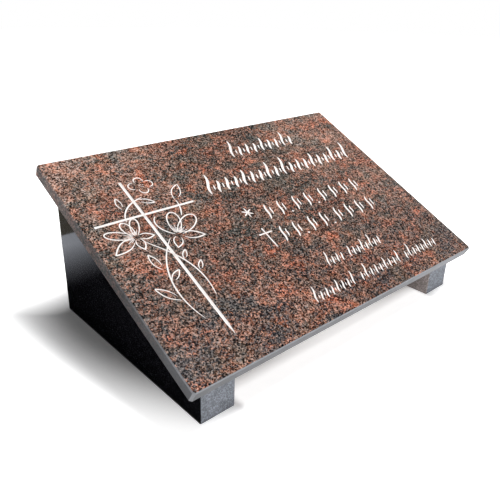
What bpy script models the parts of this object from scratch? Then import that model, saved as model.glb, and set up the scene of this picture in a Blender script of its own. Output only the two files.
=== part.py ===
"""A granite memorial slab that lies tilted on two wedge-shaped granite blocks.

The slab carries a cross with a flower spray and rows of decorative strokes, all cut as V grooves.
Run it with blender --background --python part.py, or from the text editor. Units are metres, +Z is up,
+X runs along the slab's width, and +Y points to its back. The origin is at the middle of the footprint.
"""
from math import atan2, cos, pi, radians, sin, tan

import bmesh
import bpy
from mathutils import Vector

MM = 0.001

# Slab
SLAB_WIDTH = 600 * MM
SLAB_DEPTH = 400 * MM
SLAB_THICKNESS = 18 * MM
SLAB_CHAMFER = 1.5 * MM
SLAB_CORNER_CHAMFER = 3 * MM
SLAB_TILT = radians(25.7)

# Supports: the inset is measured from the slab's side, the setback from its upper front edge
SUPPORT_WIDTH = 55 * MM
SUPPORT_LENGTH = 343 * MM
SUPPORT_FRONT_HEIGHT = 65 * MM
SUPPORT_INSET = 26.5 * MM
SUPPORT_SETBACK = 23 * MM
SUPPORT_CHAMFER = 2 * MM

# The slab rests on the supports with this much air between the faces
REST_GAP = 0.3 * MM
# Edges that turn by less than this are left without a chamfer
CHAMFER_ANGLE = radians(50)

# The engraving is drawn on a sheet of this many units, u from the left and v from the front.
# The sheet is laid centred on the slab, as large as fits. Everything down to SMALL_CROSS is in its units.
SHEET_WIDTH = 600
SHEET_DEPTH = 400

# V grooves: depth for each unit of width, how far the cutter stands out of the stone, and the width
# below zero that brings a pointed end out of the stone. Segments are the straight pieces of each line.
GROOVE_DEPTH_RATIO = 0.4
CUTTER_RISE = 0.5
RUNOUT = -0.25
PETAL_SEGMENTS = 16
STEM_SEGMENTS = 11
ARC_SEGMENTS = 9
LEAF_SEGMENTS = 14
STROKE_SEGMENTS = 6
TICK_SEGMENTS = 3
# A pen line thins towards its ends by this power: the lower it is, the fuller the line
SWELL = 0.45

# Cross
CROSS_AXIS_U = 94.5
CROSS_TOP_V = 331
CROSS_ARM_V = 261.7
CROSS_TAPER_V = 60
CROSS_TIP_V = 42
CROSS_ARM_LEFT_U = 18
CROSS_ARM_RIGHT_U = 182
CROSS_STEM_WIDTH = 4.5
CROSS_ARM_WIDTH = 3.5

# Line widths of the flower spray
PETAL_LINE = 2
LEAF_LINE = 1.8
STEM_LINE = 2.2
STAMEN_LINE = 0.8

# Petals as (direction in degrees, length, width, whether the tip is round)
LEFT_FLOWER = (62.7, 228.4)
LEFT_PETALS = (
    (105, 30, 16, True),
    (67, 34, 15, True),
    (-12, 26, 10, False),
    (-90, 24, 12, False),
    (205, 46, 15, False),
    (157, 43, 16, True),
)
RIGHT_FLOWER = (121, 212)
RIGHT_PETALS = (
    (71, 43, 23, True),
    (30, 50, 24, True),
    (-20, 40, 13, False),
    (236, 25, 13, False),
)
SMALL_BLOSSOM = (123, 316)
# Open round petals of the small blossom as (direction, distance of the petal's middle, radius)
BLOSSOM_PETALS = ((88, 10, 7), (5, 13, 6.5), (-95, 9, 7), (172, 14, 6.5))
BLOSSOM_ARC = 230
# Share of a petal's outline that stays open at each side of the flower's centre
PETAL_OPENING = 0.09
# Fans of stamens as (centre, first direction, last direction, count, inner radius, outer radius)
STAMENS = (
    (LEFT_FLOWER, 58, 116, 7, 3, 15),
    (LEFT_FLOWER, 148, 214, 8, 4, 20),
    (RIGHT_FLOWER, 14, 100, 12, 3, 21),
    (SMALL_BLOSSOM, 20, 308, 5, 1.5, 5),
)
STAMEN_STAGGER = 0.3
# Stems as cubic curves: start, two handles, end
STEMS = (
    ((108, 212), (70, 180), (50, 130), (74, 77)),
    ((68, 218), (88, 192), (124, 160), (108, 101)),
    ((64, 256), (67, 274), (83, 289), (111, 294)),
    ((146, 242), (152, 250), (157, 262), (156, 273)),
    ((118, 214), (99, 226), (96, 246), (109, 254)),
)
# Leaves as (base, tip, width)
LEAVES = (
    ((101, 291), (124, 279), 8),
    ((71, 280), (72, 303), 8),
    ((155, 273), (178, 302), 14),
    ((66, 165), (60, 195), 10),
    ((66, 144), (86, 158), 8),
    ((62, 114), (38, 143), 10),
    ((103, 170), (114, 185), 6),
    ((113, 146), (124, 161), 6),
)
# Share of a leaf's second edge that is drawn, from the tip back towards the base
LEAF_SECOND_SIDE = 0.8

# Rows of strokes as (start u, baseline v, low height, tall height, pitch, line width, strokes in each group)
SCRIPT_ROWS = (
    (316, 329, 24, 42, 17.5, 4.4, (9,)),
    (220, 264, 26, 44, 18.2, 4.8, (19,)),
    (306, 75, 15, 27, 10.5, 2.8, (4, 8)),
    (237, 32, 15, 27, 11.6, 2.8, (8, 9, 8)),
)
# The strokes of a script row take their heights from this rhythm in turn, 0 for low and 1 for tall
ROW_RHYTHM = (1, 0, 0.15, 0, 0.55, 0.1, 0, 0.8, 0)
# Rows of paired strokes as (start u, baseline v, height, pitch, line width), with a dot between groups
PAIRED_ROWS = (
    (280, 187, 31, 28, 3.6),
    (273, 140, 31, 28, 3.6),
)
PAIRED_GROUPS = (2, 2, 4)
STROKE_LEAN = radians(17)
STROKE_BOW = 0.045
# Height of the short strokes as a share of a low one, and the extra gap between groups in pitches
TICK_SHARE = 0.42
GROUP_GAP = 0.8
# The second stroke of a pair: its share of the first one's height and line width, and of the pitch beside it
SECOND_HEIGHT = 0.5
SECOND_LINE = 0.7
SECOND_OFFSET = 0.3
# The dot between groups of pairs: half its width for each unit of line width, and its share of the pitch
DOT_HALF_WIDTH = 0.7
DOT_SPACE = 0.25
# A six-pointed star as (centre u, centre v, radius), and a small cross as (u, top v, foot v, arm v, reach)
STAR = (250, 212, 10.5)
STAR_LINE = 2.7
SMALL_CROSS = (250, 177, 138, 166.5, 13)
SMALL_CROSS_LINE = 2.4


def clear_scene():
    for old in list(bpy.data.objects):
        bpy.data.objects.remove(old, do_unlink=True)


def stone(name, colour, roughness):
    material = bpy.data.materials.new(name)
    material.use_nodes = True
    shader = material.node_tree.nodes["Principled BSDF"]
    shader.inputs["Base Color"].default_value = (*colour, 1)
    shader.inputs["Roughness"].default_value = roughness
    shader.inputs["Metallic"].default_value = 0
    return material


def new_object(name, bm, material=None):
    mesh = bpy.data.meshes.new(name)
    bm.to_mesh(mesh)
    bm.free()
    obj = bpy.data.objects.new(name, mesh)
    bpy.context.collection.objects.link(obj)
    if material:
        mesh.materials.append(material)
    return obj


def add_chamfer(obj, width):
    bevel = obj.modifiers.new("Chamfer", "BEVEL")
    bevel.width = width
    bevel.segments = 1
    bevel.limit_method = "ANGLE"
    bevel.angle_limit = CHAMFER_ANGLE


def front_edge_height():
    """Height of the slab's upper front edge, which follows from the supports that it rests on."""
    lift = (SLAB_THICKNESS + REST_GAP) / cos(SLAB_TILT)
    return SUPPORT_FRONT_HEIGHT + lift - SUPPORT_SETBACK * tan(SLAB_TILT)


def front_edge_y():
    """Place of the slab's upper front edge that centres the slab's footprint on the origin."""
    return -(SLAB_DEPTH * cos(SLAB_TILT) + SLAB_THICKNESS * sin(SLAB_TILT)) / 2


def beside(base, direction, forward, sideways):
    """A point so far forward from the base in a direction, and so far to its left."""
    axis = Vector((cos(direction), sin(direction)))
    return base + axis * forward + Vector((-axis.y, axis.x)) * sideways


def evenly(count):
    return [k / count for k in range(count + 1)]


def resampled(path, count):
    """The same path in a number of even segments, and both its ends kept."""
    lengths = [(b - a).length for a, b in zip(path, path[1:])]
    total = sum(lengths)
    points = [path[0]]
    index, passed = 0, 0.0
    for share in evenly(count)[1:-1]:
        while passed + lengths[index] < total * share:
            passed += lengths[index]
            index += 1
        points.append(path[index].lerp(path[index + 1], (total * share - passed) / lengths[index]))
    return points + [path[-1]]


def cubic(start, handle_a, handle_b, end, samples=40):
    points = []
    for t in evenly(samples):
        weights = ((1 - t) ** 3, 3 * t * (1 - t) ** 2, 3 * t * t * (1 - t), t ** 3)
        ends_and_handles = (start, handle_a, handle_b, end)
        points.append(sum((w * p for w, p in zip(weights, ends_and_handles)), Vector((0, 0))))
    return points


def petal(centre, direction, length, width, round_tip, samples=48):
    """An outline that leaves the flower's centre, goes round the tip, and comes back short of the centre."""
    points = []
    for share in evenly(samples):
        turn = PETAL_OPENING + (1 - 2 * PETAL_OPENING) * share
        if round_tip:
            reach = (1 - cos(2 * pi * turn)) / 2
            side = sin(2 * pi * turn) * sin(pi * turn) ** 0.5
        else:
            reach = 1 - abs(2 * turn - 1)
            side = sin(pi * reach) * (1 if turn < 0.5 else -1)
        points.append(beside(centre, direction, length * reach, width / 2 * side))
    return points


def leaf(base, tip, width, samples=16):
    """The outline of a pointed leaf: out to the tip along one bowed edge, and most of the way back."""
    direction = atan2(tip.y - base.y, tip.x - base.x)
    length = (tip - base).length
    out = [beside(base, direction, length * t, width / 2 * sin(pi * t)) for t in evenly(samples)]
    back = []
    for share in evenly(samples)[1:]:
        t = 1 - LEAF_SECOND_SIDE * share
        back.append(beside(base, direction, length * t, -width / 2 * sin(pi * t)))
    return out + back


def arc(centre, radius, first, last, samples=24):
    return [beside(centre, first + (last - first) * t, radius, 0) for t in evenly(samples)]


def leaning_stroke(u, v, height, bow, samples=12):
    """A pen stroke that leans with the row and bows first to one side and then to the other."""
    length = height / cos(STROKE_LEAN)
    foot = Vector((u, v))
    return [beside(foot, pi / 2 - STROKE_LEAN, length * t, bow * sin(2 * pi * t)) for t in evenly(samples)]


class Engraving:
    """Collects every groove as a closed V-shaped prism, all in one cutter mesh."""

    def __init__(self):
        self.bm = bmesh.new()

    def section(self, point, normal, width):
        rise_half = width / 2 + CUTTER_RISE / (2 * GROOVE_DEPTH_RATIO)
        left, right = point + normal * rise_half, point - normal * rise_half
        corners = (
            (left.x, left.y, CUTTER_RISE),
            (point.x, point.y, -width * GROOVE_DEPTH_RATIO),
            (right.x, right.y, CUTTER_RISE),
        )
        return [self.bm.verts.new(corner) for corner in corners]

    def cut(self, path, widths):
        """One groove with a width at each point of its path. A width of zero makes a pointed end."""
        last = len(path) - 1
        rings = []
        for k, (point, width) in enumerate(zip(path, widths)):
            tangent = (path[min(k + 1, last)] - path[max(k - 1, 0)]).normalized()
            normal = Vector((-tangent.y, tangent.x))
            rings.append(self.section(point, normal, width if width > 0 else RUNOUT))
        for a, b in zip(rings, rings[1:]):
            for k in range(3):
                self.bm.faces.new((a[k], a[(k + 1) % 3], b[(k + 1) % 3], b[k]))
        self.bm.faces.new(rings[0][::-1])
        self.bm.faces.new(rings[-1])

    def pen(self, path, width, segments):
        """A groove that swells from a point to its full width and thins to a point again."""
        self.cut(resampled(path, segments), [width * (4 * t * (1 - t)) ** SWELL for t in evenly(segments)])

    def on_slab(self):
        """The finished cutter, in the slab's own frame and metres."""
        unit = min(SLAB_WIDTH / SHEET_WIDTH, SLAB_DEPTH / SHEET_DEPTH)
        bmesh.ops.translate(self.bm, vec=(-SHEET_WIDTH / 2, -SHEET_DEPTH / 2, 0), verts=self.bm.verts)
        bmesh.ops.scale(self.bm, vec=(unit, unit, unit), verts=self.bm.verts)
        bmesh.ops.translate(self.bm, vec=(0, SLAB_DEPTH / 2, 0), verts=self.bm.verts)
        bmesh.ops.recalc_face_normals(self.bm, faces=self.bm.faces)
        return self.bm


def cut_cross(engraving):
    upright = [Vector((CROSS_AXIS_U, v)) for v in (CROSS_TOP_V, CROSS_TAPER_V, CROSS_TIP_V)]
    engraving.cut(upright, (CROSS_STEM_WIDTH, CROSS_STEM_WIDTH, 0))
    arm = [Vector((u, CROSS_ARM_V)) for u in (CROSS_ARM_LEFT_U, CROSS_ARM_RIGHT_U)]
    engraving.cut(arm, (CROSS_ARM_WIDTH, CROSS_ARM_WIDTH))


def cut_flowers(engraving):
    for centre, petals in ((LEFT_FLOWER, LEFT_PETALS), (RIGHT_FLOWER, RIGHT_PETALS)):
        for direction, length, width, round_tip in petals:
            outline = petal(Vector(centre), radians(direction), length, width, round_tip)
            engraving.pen(outline, PETAL_LINE, PETAL_SEGMENTS)
    for direction, distance, radius in BLOSSOM_PETALS:
        facing = radians(direction)
        middle = beside(Vector(SMALL_BLOSSOM), facing, distance, 0)
        half = radians(BLOSSOM_ARC) / 2
        engraving.pen(arc(middle, radius, facing - half, facing + half), LEAF_LINE, ARC_SEGMENTS)


def cut_stamens(engraving):
    for centre, first, last, count, inner, outer in STAMENS:
        for k in range(count):
            direction = radians(first + (last - first) * k / (count - 1))
            reach = outer * (1 - STAMEN_STAGGER * (k % 2))
            ends = [beside(Vector(centre), direction, radius, 0) for radius in (inner, reach)]
            engraving.pen(ends, STAMEN_LINE, TICK_SEGMENTS)


def cut_stems_and_leaves(engraving):
    for points in STEMS:
        engraving.pen(cubic(*[Vector(p) for p in points]), STEM_LINE, STEM_SEGMENTS)
    for base, tip, width in LEAVES:
        engraving.pen(leaf(Vector(base), Vector(tip), width), LEAF_LINE, LEAF_SEGMENTS)


def cut_script_row(engraving, start, baseline, low, tall, pitch, line, groups):
    """Groups of leaning pen strokes of changing height, each with a short free stroke beside it."""
    u = start
    place = 0
    for count in groups:
        for k in range(count):
            height = low + (tall - low) * ROW_RHYTHM[place % len(ROW_RHYTHM)]
            engraving.pen(leaning_stroke(u, baseline, height, STROKE_BOW * height), line, STROKE_SEGMENTS)
            if k < count - 1:
                tick = low * TICK_SHARE
                tick_u = u + pitch / 2 + (low - tick) / 2 * tan(STROKE_LEAN)
                tick_v = baseline + (low - tick) / 2
                engraving.pen(leaning_stroke(tick_u, tick_v, tick, 0), line / 2, TICK_SEGMENTS)
            u += pitch
            place += 1
        u += pitch * GROUP_GAP


def cut_paired_row(engraving, start, baseline, height, pitch, line):
    """Groups of a full and a half stroke side by side, bowed the same way, with a dot between groups."""
    u = start
    for group, count in enumerate(PAIRED_GROUPS):
        if group:
            dot = Vector((u - pitch * DOT_SPACE, baseline + line / 2))
            half = Vector((line * DOT_HALF_WIDTH, 0))
            engraving.cut([dot - half, dot, dot + half], (0, line, 0))
            u += pitch * DOT_SPACE
        for _ in range(count):
            engraving.pen(leaning_stroke(u, baseline, height, -STROKE_BOW * height), line, STROKE_SEGMENTS)
            short = height * SECOND_HEIGHT
            rise = (height - short) / 2
            second_u = u + pitch * SECOND_OFFSET + rise * tan(STROKE_LEAN)
            second = leaning_stroke(second_u, baseline + rise, short, -STROKE_BOW * short)
            engraving.pen(second, line * SECOND_LINE, STROKE_SEGMENTS)
            u += pitch


def cut_star(engraving):
    u, v, radius = STAR
    for k in range(3):
        ends = [beside(Vector((u, v)), pi / 2 + k * pi / 3, reach, 0) for reach in (-radius, radius)]
        engraving.pen(ends, STAR_LINE, STROKE_SEGMENTS)


def cut_small_cross(engraving):
    u, top, foot, arm, reach = SMALL_CROSS
    widths = (SMALL_CROSS_LINE, SMALL_CROSS_LINE)
    engraving.cut([Vector((u, top)), Vector((u, foot))], widths)
    engraving.cut([Vector((u - reach, arm)), Vector((u + reach, arm))], widths)


def make_engraving_cutter():
    engraving = Engraving()
    cut_cross(engraving)
    cut_flowers(engraving)
    cut_stamens(engraving)
    cut_stems_and_leaves(engraving)
    for row in SCRIPT_ROWS:
        cut_script_row(engraving, *row)
    for row in PAIRED_ROWS:
        cut_paired_row(engraving, *row)
    cut_star(engraving)
    cut_small_cross(engraving)
    cutter = new_object("engraving_cutter", engraving.on_slab())
    cutter.hide_render = True
    cutter.display_type = "WIRE"
    return cutter


def make_slab(material):
    """The slab's own frame has its origin on the upper front edge, +Y up the slope and +Z off the face."""
    bm = bmesh.new()
    bmesh.ops.create_cube(bm, size=1)
    bmesh.ops.scale(bm, vec=(SLAB_WIDTH, SLAB_DEPTH, SLAB_THICKNESS), verts=bm.verts)
    bmesh.ops.translate(bm, vec=(0, SLAB_DEPTH / 2, -SLAB_THICKNESS / 2), verts=bm.verts)
    upright = [edge for edge in bm.edges if edge.verts[0].co.xy == edge.verts[1].co.xy]
    bmesh.ops.bevel(bm, geom=upright, offset=SLAB_CORNER_CHAMFER, segments=1, affect="EDGES", profile=0.5)
    slab = new_object("inscription_slab", bm, material)
    slab.location = (0, front_edge_y(), front_edge_height())
    slab.rotation_euler = (SLAB_TILT, 0, 0)
    add_chamfer(slab, SLAB_CHAMFER)
    cutter = make_engraving_cutter()
    cutter.parent = slab
    carving = slab.modifiers.new("Engraving", "BOOLEAN")
    carving.object = cutter
    carving.operation = "DIFFERENCE"
    carving.solver = "EXACT"
    carving.use_self = True


def make_support(name, centre_x, material):
    """A wedge with upright front and back faces, whose top runs parallel to the slab's underside."""
    back_height = SUPPORT_FRONT_HEIGHT + SUPPORT_LENGTH * tan(SLAB_TILT)
    outline = (
        (0, 0),
        (SUPPORT_LENGTH, 0),
        (SUPPORT_LENGTH, back_height),
        (0, SUPPORT_FRONT_HEIGHT),
    )
    bm = bmesh.new()
    side = bm.faces.new([bm.verts.new((-SUPPORT_WIDTH / 2, y, z)) for y, z in outline])
    extruded = bmesh.ops.extrude_face_region(bm, geom=[side])["geom"]
    moved = [part for part in extruded if isinstance(part, bmesh.types.BMVert)]
    bmesh.ops.translate(bm, vec=(SUPPORT_WIDTH, 0, 0), verts=moved)
    bmesh.ops.recalc_face_normals(bm, faces=bm.faces)
    support = new_object(name, bm, material)
    support.location = (centre_x, front_edge_y() + SUPPORT_SETBACK, 0)
    add_chamfer(support, SUPPORT_CHAMFER)


def main():
    clear_scene()
    make_slab(stone("polished_red_granite", (0.21, 0.10, 0.07), 0.18))
    dark_granite = stone("dark_granite", (0.03, 0.03, 0.035), 0.35)
    support_x = SLAB_WIDTH / 2 - SUPPORT_INSET - SUPPORT_WIDTH / 2
    make_support("left_support", -support_x, dark_granite)
    make_support("right_support", support_x, dark_granite)


main()
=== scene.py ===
"""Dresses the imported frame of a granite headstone: a polished red granite slab with a white engraving,
tilted on two dark granite supports. Laid out as a Blender add-on and run as a script. Metres, +Z is up.
"""
from math import atan2, cos, pi, radians, sin, tan

import bmesh
import bpy
from bpy.props import FloatProperty, FloatVectorProperty, IntProperty, PointerProperty
from mathutils import Matrix, Vector


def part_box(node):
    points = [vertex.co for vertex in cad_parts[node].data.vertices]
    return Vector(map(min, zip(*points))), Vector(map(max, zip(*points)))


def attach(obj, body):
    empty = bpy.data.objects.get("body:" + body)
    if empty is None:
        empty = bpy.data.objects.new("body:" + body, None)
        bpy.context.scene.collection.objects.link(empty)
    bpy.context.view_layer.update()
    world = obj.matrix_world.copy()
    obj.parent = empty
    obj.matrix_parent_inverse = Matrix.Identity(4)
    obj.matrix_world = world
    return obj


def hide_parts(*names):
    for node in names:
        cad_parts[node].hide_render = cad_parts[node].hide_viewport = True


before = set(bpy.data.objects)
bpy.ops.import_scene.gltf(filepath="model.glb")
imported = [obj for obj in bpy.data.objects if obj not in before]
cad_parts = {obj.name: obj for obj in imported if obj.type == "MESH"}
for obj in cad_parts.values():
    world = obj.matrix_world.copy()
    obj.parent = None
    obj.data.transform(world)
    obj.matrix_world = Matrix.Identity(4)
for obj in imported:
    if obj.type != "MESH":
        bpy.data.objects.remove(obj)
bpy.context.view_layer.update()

bl_info = {
    "name": "Granite headstone",
    "version": (1, 0, 0),
    "blender": (4, 5, 0),
    "location": "3D View > Sidebar > Headstone",
    "description": "Dresses the frame of a granite headstone with stone, engraving, floor and light",
    "category": "Add Mesh",
}

MM = 0.001
TINY = 1e-6

# The slots of the slab's materials, and of a support's
FACE, UNDERSIDE, EDGE, SIDE, CHAMFER, PAINT = range(6)
POLISHED, SAWN, INNER = range(3)

# Edges that turn by more than this get the slab's small chamfer. Those of its corner chamfers turn by less
RIM_ANGLE = radians(50)

# The camera, solved from the straight edges of the slab and its supports. Turns are in radians
CAMERA_PLACE = (-0.59595, -0.57710, 0.48418)
CAMERA_YAW = 0.7178
CAMERA_PITCH = 0.4182
CAMERA_ROLL = 0.0165
CAMERA_LENS = 40.74
CAMERA_SENSOR = 36
CAMERA_SHIFT = (0.0415, -0.0307)

# Each lamp's place, and its width and height. Both lamps face the middle of the headstone
LIT_MIDDLE = (0, 0, 0.1)
KEY_LIGHT = ((0.38, -0.50, 2.53), (0.6, 0.6))
FRONT_LIGHT = ((0.9, -2.3, 0.85), (2.4, 1.2))
AMBIENT_COLOUR = (0.95, 0.97, 1.0, 1)

# The floor turns white between these distances from the headstone's middle
WHITE_FROM = (1.2, 2.6)
# Painted light: the floor glows in front of the slab, at its left back corner, and all round beyond the
# shade that the slab stands in, which lifts the slab's shadow and gives it its outline. Ovals as (centre,
# one over the half lengths, inner rim, outer rim)
GLOW_OVAL = ((0.03, -0.36, 0), (2.4, 3.0, 0), 0.5, 1.05)
SHADE_OVAL = ((0, 0.12, 0), (2.7, 2.4, 0), 0.76, 1.07)
CORNER_OVAL = ((-0.32, 0.33, 0), (6.2, 7.1, 0), 0.6, 1.25)
# A faint painted light on the floor inside the shade
SHADE_GLOW = 0.055
# Painted light on the floor below the slab's front edge, which takes out the slab's shadow there: where it
# starts and is full, from the back and from both sides, and its strength as a share of the light in front
UNDER_EDGE = (-0.108, -0.142)
UNDER_SIDES = ((-0.222, -0.205), (0.232, 0.215))
UNDER_SHARE = 0.92

# Painted reflection: a card that the left support's polished side mirrors in place of the floor, glowing
# from front to back dark, then pale, then dark
CARD_CORNERS = ((-0.62, -0.30), (-0.275, 0.95))
# Where its pale part starts, is full, starts to end and has ended. Its light is a ramp up to the peak,
# raised to a power
CARD_STOPS = (0.24, 0.405, 0.452, 0.458)
CARD_PEAK = 1.12
CARD_POWER = 1.6
CARD_PALE = (0.94, 0.98, 1.08, 1)
CARD_DARK = (0.21, 0.19, 0.15, 1)

# The red granite's grain and drifts, in cells or waves to the metre
CRYSTALS = 480
MOTTLE = 850
SPECKS = 570
REGIONS = 9
PATCHES = 62
RUST = 26
GREENS = 13
STREAKS = 18
CLUSTERS = 110
# The tones of the grains, from the darkest to quartz, and how pale the pale salmon is
DARK_TONE = 0.25
BROWN_TONE = 0.42
SALMON_TONE = 0.59
PALE_TONE = 0.77
PALE_VALUE = 2.1
QUARTZ_TONE = 0.95
# What each tint multiplies the red, green and blue of the stone by
ORANGE_TINT = (1.55, 1.0, 0.72)
RUST_TINT = (1.12, 0.80, 0.66)
PALE_TINT = (0.86, 0.98, 1.10)
GREEN_TINT = (0.52, 0.80, 0.88)
TEAL_TINT = (1.2, 1.75, 1.1)
FLECK_AND_SHEEN_COLOUR = (0.50, 0.43, 0.40, 1)
SAW_DUST = (0.30, 0.27, 0.25, 1)
# Blue-green drifts as (middle along the width, middle up the slope, reach along the width, reach up the
# slope), and the shares of the reach at which a drift starts to fade and has faded
STONE_DRIFTS = (
    (-0.275, 0.035, 0.060, 0.040),
    (0.275, 0.035, 0.060, 0.040),
    (-0.145, 0.030, 0.040, 0.030),
    (-0.205, 0.075, 0.055, 0.025),
    (0.045, 0.262, 0.045, 0.022),
    (-0.080, 0.190, 0.035, 0.030),
    (-0.110, 0.265, 0.040, 0.030),
    (-0.120, 0.320, 0.045, 0.025),
    (0.085, 0.350, 0.040, 0.030),
    (-0.215, 0.215, 0.035, 0.022),
    (0.125, 0.130, 0.030, 0.035),
)
DRIFT_FADE = (0.2, 1.2)
# Honed faces as (material, value of the grey, share of coloured grains at the back, value on the left and
# at the right end). The values along the width are painted shade and light
HONED_FACES = (
    ("honed_edge", 0.39, 0.5, (0.92, 1.4)),
    ("honed_side", 0.40, 0.6, (1.0, 1.0)),
    # The chamfers' grey, lighter than the faces', is a painted highlight along the slab's edges
    ("chamfer_edge", 0.72, 0.7, (1.0, 1.0)),
)

# The engraving is drawn on a sheet in millimetres, u from the left and v from the front
SHEET = (600, 400)
# A groove's depth over its width, and how far its cutter stands above the stone
GROOVE_DEPTH = 0.4
CUTTER_RISE = 0.5
# The width given to a pointed end. Below zero, the groove's bottom rises clear of the stone there
RUNOUT = -0.25
# How soon a pen line swells to its full width. At one its width would follow a parabola
SWELL = 0.45
# Segments along each kind of groove
PETAL_SEGMENTS = 36
STEM_SEGMENTS = 28
ARC_SEGMENTS = 20
LEAF_SEGMENTS = 30
STROKE_SEGMENTS = 14
TICK_SEGMENTS = 6
# Steps that each kind of path is worked out in before it is cut in segments
PETAL_STEPS = 96
STEM_STEPS = 60
ARC_STEPS = 40
LEAF_STEPS = 30
STROKE_STEPS = 30

# The cross as points of (u, v, line width)
CROSS_UPRIGHT = ((94.5, 331, 4.5), (94.5, 60, 4.5), (94.5, 42, 0))
CROSS_ARM = ((18, 261.7, 3.5), (182, 261.7, 3.5))
# Line widths of the flowers
PETAL_LINE = 2
LEAF_LINE = 1.8
STEM_LINE = 2.2
STAMEN_LINE = 0.8

# Petals as (direction in degrees, length, width, whether the tip is round)
LEFT_FLOWER = (62.7, 228.4)
LEFT_PETALS = (
    (105, 30, 16, True),
    (67, 34, 15, True),
    (-12, 26, 10, False),
    (-90, 24, 12, False),
    (205, 46, 15, False),
    (157, 43, 16, True),
)
RIGHT_FLOWER = (121, 212)
RIGHT_PETALS = (
    (71, 43, 23, True),
    (30, 50, 24, True),
    (-20, 40, 13, False),
    (236, 25, 13, False),
)
# The share of a petal's outline that stays open at the flower's centre, at each of its ends
PETAL_OPENING = 0.09
# Open round petals of the small blossom as (direction, distance of the petal's middle, radius), and how
# many degrees of a circle each one is
SMALL_BLOSSOM = (123, 316)
BLOSSOM_PETALS = ((88, 10, 7), (5, 13, 6.5), (-95, 9, 7), (172, 14, 6.5))
BLOSSOM_ARC = 230
# Fans of stamens as (centre, first direction, last direction, count, inner radius, outer radius). Every
# second stamen is shorter by the stagger
STAMENS = (
    (LEFT_FLOWER, 58, 116, 7, 3, 15),
    (LEFT_FLOWER, 148, 214, 8, 4, 20),
    (RIGHT_FLOWER, 14, 100, 12, 3, 21),
    (SMALL_BLOSSOM, 20, 308, 5, 1.5, 5),
)
STAMEN_STAGGER = 0.3
# Stems as cubic curves: start, two handles, end
STEMS = (
    ((108, 212), (70, 180), (50, 130), (74, 77)),
    ((68, 218), (88, 192), (124, 160), (108, 101)),
    ((64, 256), (67, 274), (83, 289), (111, 294)),
    ((146, 242), (152, 250), (157, 262), (156, 273)),
    ((118, 214), (99, 226), (96, 246), (109, 254)),
)
# Leaves as (base, tip, width), and how far a leaf's second edge comes back from its tip
LEAVES = (
    ((101, 291), (124, 279), 8),
    ((71, 280), (72, 303), 8),
    ((155, 273), (178, 302), 14),
    ((66, 165), (60, 195), 10),
    ((66, 144), (86, 158), 8),
    ((62, 114), (38, 143), 10),
    ((103, 170), (114, 185), 6),
    ((113, 146), (124, 161), 6),
)
LEAF_SECOND_SIDE = 0.8

# Rows of strokes as (start u, baseline v, low height, tall height, pitch, line width, strokes in each group)
SCRIPT_ROWS = (
    (316, 329, 24, 42, 17.5, 4.4, (9,)),
    (220, 264, 26, 44, 18.2, 4.8, (19,)),
    (306, 75, 15, 27, 10.5, 2.8, (4, 8)),
    (237, 32, 15, 27, 11.6, 2.8, (8, 9, 8)),
)
# Heights of the strokes in turn, from low at 0 to tall at 1
ROW_RHYTHM = (1, 0, 0.15, 0, 0.55, 0.1, 0, 0.8, 0)
# Rows of paired strokes as (start u, baseline v, height, pitch, line width), with a dot between groups
PAIRED_ROWS = (
    (280, 187, 31, 28, 3.6),
    (273, 140, 31, 28, 3.6),
)
PAIRED_GROUPS = (2, 2, 4)
# How far a stroke bows to each side over its height, the height of the short stroke beside it over the low
# height, and the room between groups over the pitch
STROKE_LEAN = radians(17)
STROKE_BOW = 0.045
TICK_SHARE = 0.42
GROUP_GAP = 0.8
# A pair's second stroke: its height and line width over the first one's, and its distance over the pitch
SECOND_HEIGHT = 0.5
SECOND_LINE = 0.7
SECOND_OFFSET = 0.3
# The dot between groups: half its width over the line width, and the room on each side over the pitch
DOT_HALF_WIDTH = 0.7
DOT_SPACE = 0.25
# The star as (u, v, radius), and the small cross as its upright and its arm
STAR = (250, 212, 10.5)
STAR_LINE = 2.7
SMALL_CROSS = (((250, 177), (250, 138)), ((237, 166.5), (263, 166.5)))
SMALL_CROSS_LINE = 2.4


class HeadstoneSlabSettings(bpy.types.PropertyGroup):
    """Sizes and colours of the engraved slab."""

    chamfer: FloatProperty(
        name="Chamfer", description="Width of the small chamfer round the slab",
        default=1.5 * MM, min=0.0, soft_max=0.005, unit="LENGTH", precision=4,
    )
    corner_chamfer: FloatProperty(
        name="Corner Chamfer", description="Width of the chamfer down each corner of the slab",
        default=3 * MM, min=0.0, soft_max=0.01, unit="LENGTH", precision=4,
    )
    feldspar: FloatVectorProperty(
        name="Feldspar", description="Colour of the salmon crystals", subtype="COLOR",
        default=(0.160, 0.074, 0.046), min=0, max=1,
    )
    brown: FloatVectorProperty(
        name="Brown Mineral", description="Colour of the brown crystals", subtype="COLOR",
        default=(0.068, 0.037, 0.027), min=0, max=1,
    )
    dark: FloatVectorProperty(
        name="Dark Mineral", description="Colour of the dark specks and streaks", subtype="COLOR",
        default=(0.010, 0.011, 0.013), min=0, max=1,
    )
    cluster: FloatVectorProperty(
        name="Dark Clusters", description="Colour of the blue-black clusters", subtype="COLOR",
        default=(0.006, 0.015, 0.024), min=0, max=1,
    )
    quartz: FloatVectorProperty(
        name="Quartz", description="Colour of the pale grains", subtype="COLOR",
        default=(0.36, 0.265, 0.225), min=0, max=1,
    )
    edge: FloatVectorProperty(
        name="Honed Edge", description="Colour of the slab's honed edges", subtype="COLOR",
        default=(0.235, 0.24, 0.255), min=0, max=1,
    )
    paint: FloatVectorProperty(
        name="Paint", description="Colour of the paint in the engraving", subtype="COLOR",
        default=(0.82, 0.785, 0.77), min=0, max=1,
    )


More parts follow.
